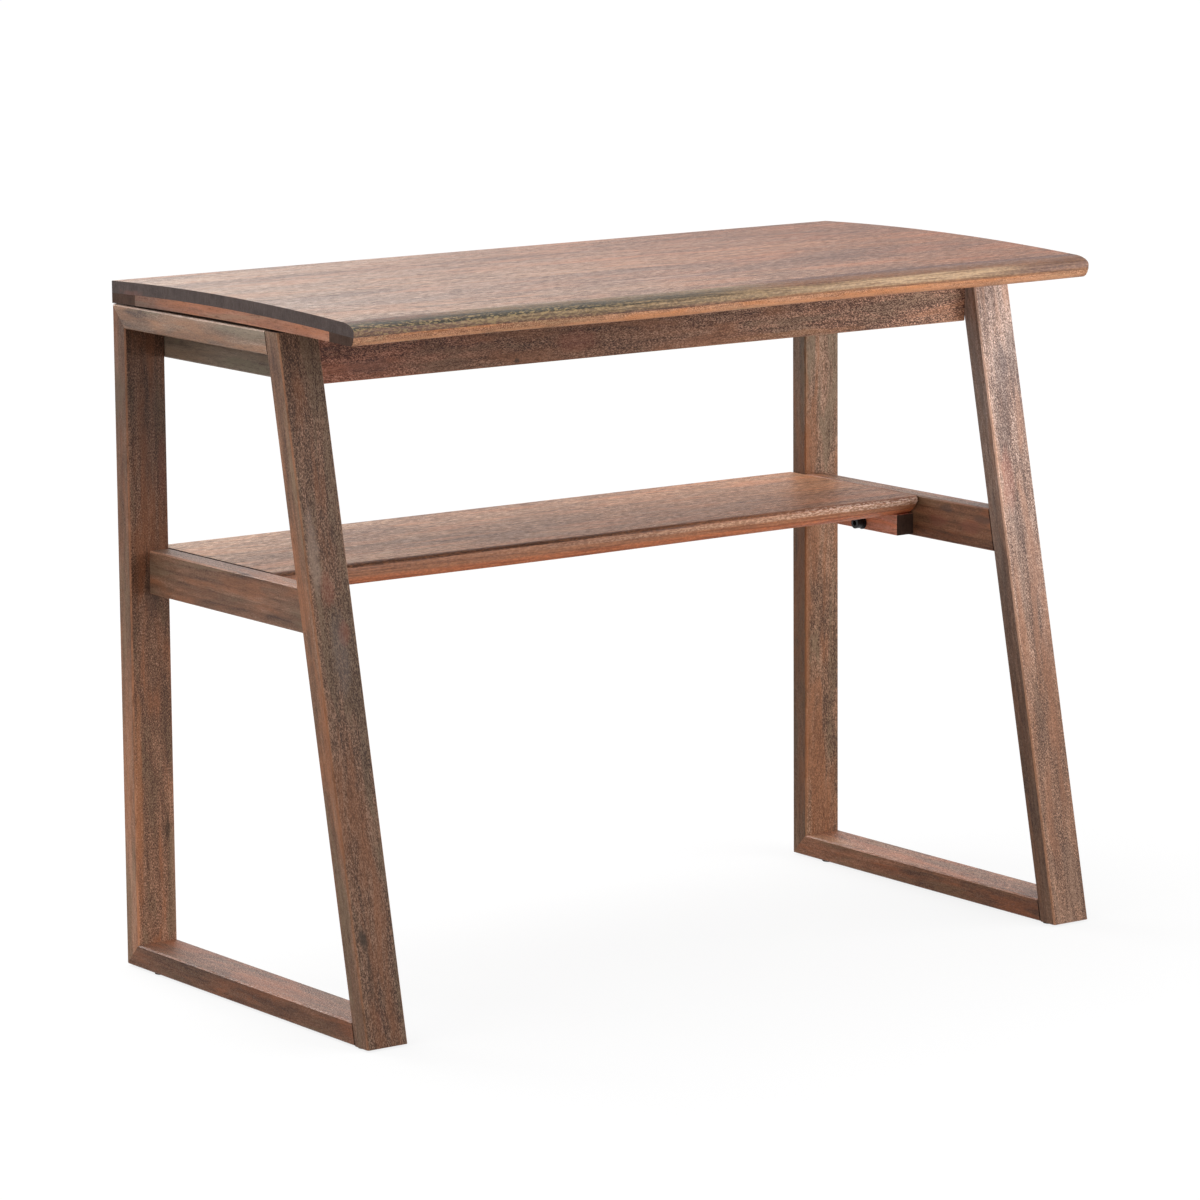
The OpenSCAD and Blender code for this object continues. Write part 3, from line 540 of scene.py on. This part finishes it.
# Marks that stand out in the grain of a piece, and one spot of painted shade: centre and radii in metres,
# tone and amount
MARKS = {
    "left_front_leg": (
        ((-0.479, -0.219, 0.114), (0.006, 0.05, 0.015), KNOT, 0.85),
        ((-0.476, -0.226, 0.08), (0.0025, 0.05, 0.035), KNOT, 0.4),
        ((-0.469, -0.146, 0.47), (0.009, 0.05, 0.02), RED, 0.4),
        ((-0.455, -0.155, 0.424), (0.008, 0.05, 0.015), RED, 0.45),
        ((-0.462, -0.15, 0.4), (0.013, 0.05, 0.05), GREY, 0.4),
        ((-0.48, -0.13, 0.51), (0.008, 0.05, 0.05), FAIR, 0.25),
        ((-0.47, -0.2, 0.03), (0.01, 0.05, 0.02), RED, 0.25),
    ),
    "left_back_leg": (
        # Painted shade on the leg where the middle rail meets it
        ((-0.462, 0.217, 0.42), (0.009, 0.05, 0.035), SMOKE, 0.5),
        ((-0.484, 0.217, 0.2), (0.005, 0.05, 0.12), ORANGE, 0.4),
        ((-0.447, 0.217, 0.56), (0.006, 0.05, 0.05), RED, 0.3),
        ((-0.449, 0.217, 0.155), (0.0035, 0.05, 0.016), KNOT, 0.7),
        ((-0.46, 0.217, 0.6), (0.012, 0.05, 0.08), SMOKE, 0.25),
    ),
    "right_back_leg": (
        ((0.443, 0.217, 0.35), (0.005, 0.05, 0.3), ORANGE, 0.6),
    ),
    "right_front_leg": (
        ((0.468, -0.1, 0.63), (0.006, 0.05, 0.02), SMOKE, 0.35),
        ((0.455, -0.13, 0.5), (0.01, 0.05, 0.04), RED, 0.3),
    ),
    "right_mid_rail": (
        ((0.44, -0.046, 0.457), (0.02, 0.014, 0.005), SMOKE, 0.6),
        ((0.44, -0.112, 0.45), (0.02, 0.02, 0.006), SMOKE, 0.6),
        ((0.44, -0.033, 0.44), (0.02, 0.02, 0.008), RED, 0.5),
        ((0.44, -0.09, 0.44), (0.02, 0.025, 0.01), RED, 0.45),
    ),
    "front_apron": (
        ((-0.179, -0.078, 0.68), (0.004, 0.05, 0.003), KNOT, 0.7),
        ((-0.1, -0.078, 0.695), (0.03, 0.05, 0.012), RED, 0.4),
        ((0.2, -0.078, 0.68), (0.1, 0.05, 0.004), ORANGE, 0.3),
        ((-0.37, -0.078, 0.69), (0.04, 0.05, 0.01), SMOKE, 0.4),
    ),
    "top_fourth_board": (
        ((-0.035, -0.126, 0.762), (0.09, 0.0035, 0.05), PALE_PINK, 0.45),
        ((0.02, -0.134, 0.762), (0.08, 0.003, 0.05), PLUM, 0.5),
    ),
    "top_back_board": (
        ((0.31, 0.232, 0.76), (0.04, 0.006, 0.05), SMOKE, 0.5),
        ((-0.45, 0.2, 0.75), (0.1, 0.03, 0.005), RED, 0.25),
    ),
    "top_second_board": (
        ((0.38, 0.13, 0.76), (0.05, 0.006, 0.05), SMOKE, 0.4),
    ),
}


# The pieces

def piece(name, turn, seed, tones, *layers, **figure):
    """Dresses a wooden piece in a material of its own. Its marks lie under the other layers."""
    if name in MARKS:
        layers = (blots(MARKS[name]), *layers)
    paint(name, wood(name, turn, seed, tones, STAIN_AND_PAINTED_LIGHT.get(name, NO_TINT), layers, **figure))


def dress_worktop():
    # Painted sheen: the worktop is paler and cooler towards the left end and browner towards the right
    tone_and_sheen = drift(0, -0.45, 0.4, (1.13, 1.46, 1.8), (0.8, 0.57, 0.41))
    for seed, board in enumerate(("back", "second", "middle", "fourth", "front"), 3):
        edge = (top_edge,) if board == "front" else ()
        piece(f"top_{board}_board", ALONG_X, seed, TOP, tone_and_sheen, *edge,
              ringing=0.45, speckle=0.5, streaks=0.8, mottle=0.4, dots=0.12, shine=(0.3, 0.34))
    for seed, side in enumerate(("back", "front"), 11):
        piece(f"top_{side}_strip", ALONG_X, seed, STRIP)
    # The end strips grow darker towards the back
    tone_and_sheen = drift(1, 0.05, 0.18, (0.95, 0.98, 1.02), (0.45, 0.52, 0.6))
    for seed, side in enumerate(("left", "right"), 14):
        piece(f"top_{side}_strip", ALONG_Y, seed, STRIP, tone_and_sheen, mottle=0.8)


def dress_aprons():
    # Painted light: the aprons grow lighter and paler towards the right end
    painted_light_right = drift(0, 0.0, 0.4, (1.0, 1.06, 1.08), (2.6, 3.0, 3.3))
    left_end = drift(0, -0.2, -0.4, (1.0, 1.0, 1.0), (1.45, 1.2, 1.25))
    for seed, side in enumerate(("front", "back"), 17):
        piece(f"{side}_apron", ALONG_X, seed, APRON, painted_light_right, left_end,
              ringing=0.6, speckle=0.6, streaks=0.4, dots=0.6)
    piece("left_apron", ALONG_Y, 20, DULL)
    piece("right_apron", ALONG_Y, 21, APRON)


def dress_shelf():
    # Painted sheen: the shelf is paler and cooler towards the left end and browner towards the right
    tone_and_sheen = drift(0, -0.4, 0.35, (0.98, 1.14, 1.3), (0.92, 0.83, 0.74))
    for seed, board in enumerate(("back", "middle", "front"), 51):
        edge = (shelf_edge,) if board == "front" else ()
        piece(f"shelf_{board}_board", ALONG_X, seed, TOP, tone_and_sheen, *edge,
              ringing=0.45, speckle=0.55, streaks=0.9, mottle=0.5, dots=0.15, shine=(0.3, 0.3))
    for seed, side in enumerate(("left", "right"), 22):
        piece(f"{side}_shelf_cleat", ALONG_Y, seed, STRIP)


def frame_painted_light():
    """Layers of the frame members, most of them painted light and shade. The left back leg is painted
    darker towards the top as shade under the worktop, the right front leg paler towards the top as painted
    sheen, the other two legs grow a little lighter towards the top, and faces are painted lighter or
    darker by how they turn to the light.
    """
    return {
        "left_back_leg": (
            drift(2, 0.3, 0.6, (1.4, 1.33, 1.27), (0.67, 0.64, 0.63)), painted_face_light(0, 0.97)),
        "left_front_leg": (
            drift(2, 0.3, 0.6, (0.84, 0.84, 0.83), (1.0, 1.0, 1.0)), painted_face_light(0, 1.45)),
        "right_back_leg": (
            drift(2, 0.3, 0.6, (0.96, 0.92, 0.88), (1.02, 1.07, 1.12)), painted_face_light(0, 0.53)),
        "right_front_leg": (
            drift(2, 0.25, 0.6, (1.08, 1.06, 1.02), (2.2, 2.8, 3.5)), painted_face_light(0, 0.78)),
        # Painted light: the upper faces of these rails are lighter
        "left_mid_rail": (painted_face_light(2, 1.6),),
        "left_bottom_rail": (painted_face_light(2, 1.3),),
        "right_bottom_rail": (painted_face_light(2, 1.4),),
    }


def dress_frames():
    turns = {"back_leg": ALONG_Z, "front_leg": ALONG_LEG, "top_rail": ALONG_Y,
             "bottom_rail": ALONG_Y, "mid_rail": ALONG_Y}
    painted_shading = frame_painted_light()
    seed = 31
    for side, arris_x in (("left", LEFT_ARRIS), ("right", RIGHT_ARRIS)):
        for part, turn in turns.items():
            name = f"{side}_{part}"
            # Legs get a painted highlight along one arris
            arris_highlight_layer = (arris_highlight_line(arris_x),) if "leg" in part else ()
            tones = ROSE if name == "right_front_leg" else FRAME
            ringing = 0.7 if part == "mid_rail" else 0.4
            piece(name, turn, seed, tones, *painted_shading.get(name, ()), *arris_highlight_layer,
                  ringing=ringing, speckle=0.52, streaks=0.4, mottle=0.7, dots=0.6)
            seed += 1


def black_steel():
    """Black oxide, with bare steel showing through in spots."""
    material, t = new_material("black_steel")
    place = t.node("ShaderNodeTexCoord").outputs["Object"]
    grain = t.noise(place, 900.0, 3.0, 0.6)
    wear = t.span(t.noise(place, 220.0, 3.0, 0.6), 0.55, 0.75)
    colour = t.mix(wear, (0.012, 0.012, 0.013), (0.05, 0.048, 0.045))
    principled(t, colour, t.span(grain, 0.3, 0.7, 0.28, 0.5), grain, 0.0001, Metallic=0.6)
    return material


def zinc_steel():
    material, t = new_material("zinc_steel")
    grain = t.noise(t.node("ShaderNodeTexCoord").outputs["Object"], 700.0, 3.0, 0.6)
    colour = t.mix(grain, (0.42, 0.41, 0.37), (0.62, 0.61, 0.56))
    principled(t, colour, t.span(grain, 0.3, 0.7, 0.3, 0.5), grain, 0.0001, Metallic=1.0)
    return material


def foot_pads():
    material, t = new_material("foot_pads")
    grain = t.noise(t.node("ShaderNodeTexCoord").outputs["Object"], 1200.0, 3.0, 0.7)
    colour = t.mix(grain, (0.02, 0.018, 0.016), (0.045, 0.04, 0.036))
    principled(t, colour, 0.8, grain, 0.0002)
    return material


def dress_hardware():
    beech = wood("beech_dowels", ALONG_X, 61, BEECH)
    for material, names in (
        (beech, ("left_frame_dowels", "right_frame_dowels", "apron_dowels")),
        (black_steel(), ("bolts", "flat_washers", "spring_washers")),
        (zinc_steel(), ("top_screws", "shelf_screws", "threaded_inserts")),
        (foot_pads(), ("back_left_foot", "back_right_foot", "front_left_foot", "front_right_foot")),
    ):
        for name in names:
            paint(name, material)


# Vertices closer than this are joined, in metres, and edges sharper than this stay sharp, in degrees
JOINED = 1e-5
SHARP = 32


def smooth_shading():
    """Joins the faces of the worktop's and the shelf's pieces and shades them smooth, by a modifier."""
    group = bpy.data.node_groups.new("smooth_shading", "GeometryNodeTree")
    for way in ("INPUT", "OUTPUT"):
        group.interface.new_socket("Geometry", in_out=way, socket_type="NodeSocketGeometry")
    t = Tree(group)
    start = t.node("NodeGroupInput")
    drop = t.node("GeometryNodeRemoveAttribute")
    t.put(drop.inputs["Name"], "custom_normal")
    merge = t.node("GeometryNodeMergeByDistance")
    t.put(merge.inputs["Distance"], JOINED)
    faces = t.node("GeometryNodeSetShadeSmooth")
    edges = t.node("GeometryNodeSetShadeSmooth", domain="EDGE")
    t.put(edges.inputs["Shade Smooth"], False)
    angle = t.node("GeometryNodeInputMeshEdgeAngle")
    sharp = t.node("FunctionNodeCompare", operation="GREATER_THAN")
    t.put(sharp.inputs[0], angle.outputs[0])
    t.put(sharp.inputs[1], math.radians(SHARP))
    t.put(edges.inputs["Selection"], sharp.outputs[0])
    chain = (start, drop, merge, faces, edges, t.node("NodeGroupOutput"))
    for before, after in zip(chain, chain[1:]):
        t.put(after.inputs[0], before.outputs[0])
    for name, o in NODES.items():
        if name.startswith(("top_", "shelf_")) and ("board" in name or "strip" in name):
            o.modifiers.new("smooth_shading", "NODES").node_group = group


# Camera and light

# The camera of the photo: its turn to the right, tilt down and roll in degrees, its lens and sensor in
# millimetres, and the point that it looks at and its distance in metres
TURN, TILT, ROLL = 35.64, 9.84, -0.44
LENS, SENSOR = 164.01, 36.0
LOOKED_AT = Vector((-0.00518, 0.01584, 0.38864))
DISTANCE = 6.07782

# Lamps: name, place, aim and size in metres, power in watts
LAMPS = (
    ("overhead", (-0.4, 0.5, 2.6), (0.0, 0.1, 0.5), (2.4, 2.0), 62),
    ("back", (-0.7, 2.3, 1.5), (0.0, 0.1, 0.55), (2.0, 1.4), 44),
    ("left_side", (-2.2, -0.3, 1.5), (0.0, 0.0, 0.45), (1.4, 1.6), 17),
    ("right_front", (1.5, -1.6, 1.1), (0.4, 0.0, 0.45), (2.6, 2.3), 60),
)

# The world's strength as light, and what it adds where it is seen
WORLD_LIGHT = 0.38
WORLD_SEEN = 0.67

# The floor: half its side and its drop under the feet in metres, its colour in the light that it throws on
# the desk and where it is seen, and its glow where it is seen, which grows from NEAR to FAR metres off
FLOOR_HALF = 40
FLOOR_DROP = 0.0002
FLOOR_BOUNCE = (0.34, 0.33, 0.32)
FLOOR_SEEN = (0.12, 0.12, 0.12)
NEAR, FAR = 1.0, 4.0
GLOW_NEAR, GLOW_FAR = 0.834, 0.974


def camera():
    turn, tilt, roll = math.radians(TURN), math.radians(TILT), math.radians(ROLL)
    ahead = Vector((math.sin(turn) * math.cos(tilt), math.cos(turn) * math.cos(tilt), -math.sin(tilt)))
    level = Vector((math.cos(turn), -math.sin(turn), 0.0))
    above = level.cross(ahead)
    right = level * math.cos(roll) + above * math.sin(roll)
    up = above * math.cos(roll) - level * math.sin(roll)
    data = bpy.data.cameras.new("camera")
    data.lens = LENS
    data.sensor_width = SENSOR
    data.clip_start = 0.1
    data.clip_end = 100.0
    o = bpy.data.objects.new("camera", data)
    rotation = Matrix((right, up, -ahead)).transposed().to_4x4()
    o.matrix_world = Matrix.Translation(LOOKED_AT - ahead * DISTANCE) @ rotation
    bpy.context.scene.collection.objects.link(o)
    bpy.context.scene.camera = o


def area(name, place, aim, size, power):
    data = bpy.data.lights.new(name, "AREA")
    data.shape = "RECTANGLE"
    data.size, data.size_y = size
    data.energy = power
    o = bpy.data.objects.new(name, data)
    o.location = place
    o.rotation_euler = (Vector(aim) - Vector(place)).to_track_quat("-Z", "Y").to_euler()
    bpy.context.scene.collection.objects.link(o)


def seen(t):
    """1 for rays from the camera, straight or by mirror or glass."""
    path = t.node("ShaderNodeLightPath").outputs
    mirrored = t.math("MAXIMUM", path["Is Glossy Ray"], path["Is Transmission Ray"])
    return t.math("MAXIMUM", path["Is Camera Ray"], mirrored)


def white_world():
    world = bpy.data.worlds.new("studio")
    world.use_nodes = True
    world.node_tree.nodes.clear()
    t = Tree(world.node_tree)
    shader = t.node("ShaderNodeBackground")
    t.put(shader.inputs["Color"], (1.0, 1.0, 1.0))
    t.put(shader.inputs["Strength"], t.times_plus(seen(t), WORLD_SEEN, WORLD_LIGHT))
    t.put(t.node("ShaderNodeOutputWorld").inputs[0], shader.outputs[0])
    bpy.context.scene.world = world


def white_floor():
    """A floor that keeps the desk's shadow and glows to white round it."""
    corners = [(x * FLOOR_HALF, y * FLOOR_HALF, 0) for x, y in ((-1, -1), (1, -1), (1, 1), (-1, 1))]
    mesh = bpy.data.meshes.new("floor")
    mesh.from_pydata(corners, [], [(0, 1, 2, 3)])
    floor = bpy.data.objects.new("floor", mesh)
    floor.location.z = -FLOOR_DROP
    bpy.context.scene.collection.objects.link(floor)

    material, t = new_material("floor")
    diffuse = t.node("ShaderNodeBsdfDiffuse")
    t.put(diffuse.inputs["Color"], t.mix(seen(t), FLOOR_BOUNCE, FLOOR_SEEN))
    away = t.vector("LENGTH", t.node("ShaderNodeTexCoord").outputs["Object"])
    glow = t.span(away, NEAR, FAR, GLOW_NEAR, GLOW_FAR, smooth=False)
    emission = t.node("ShaderNodeEmission")
    t.put(emission.inputs["Strength"], t.times(seen(t), glow))
    shader = t.node("ShaderNodeAddShader")
    t.put(shader.inputs[0], diffuse.outputs[0])
    t.put(shader.inputs[1], emission.outputs[0])
    t.put(t.node("ShaderNodeOutputMaterial").inputs[0], shader.outputs[0])
    mesh.materials.append(material)


def studio():
    bpy.context.scene.view_settings.view_transform = "Standard"
    white_world()
    white_floor()
    for lamp in LAMPS:
        area(*lamp)


dress_worktop()
dress_aprons()
dress_shelf()
dress_frames()
dress_hardware()
smooth_shading()
camera()
studio()
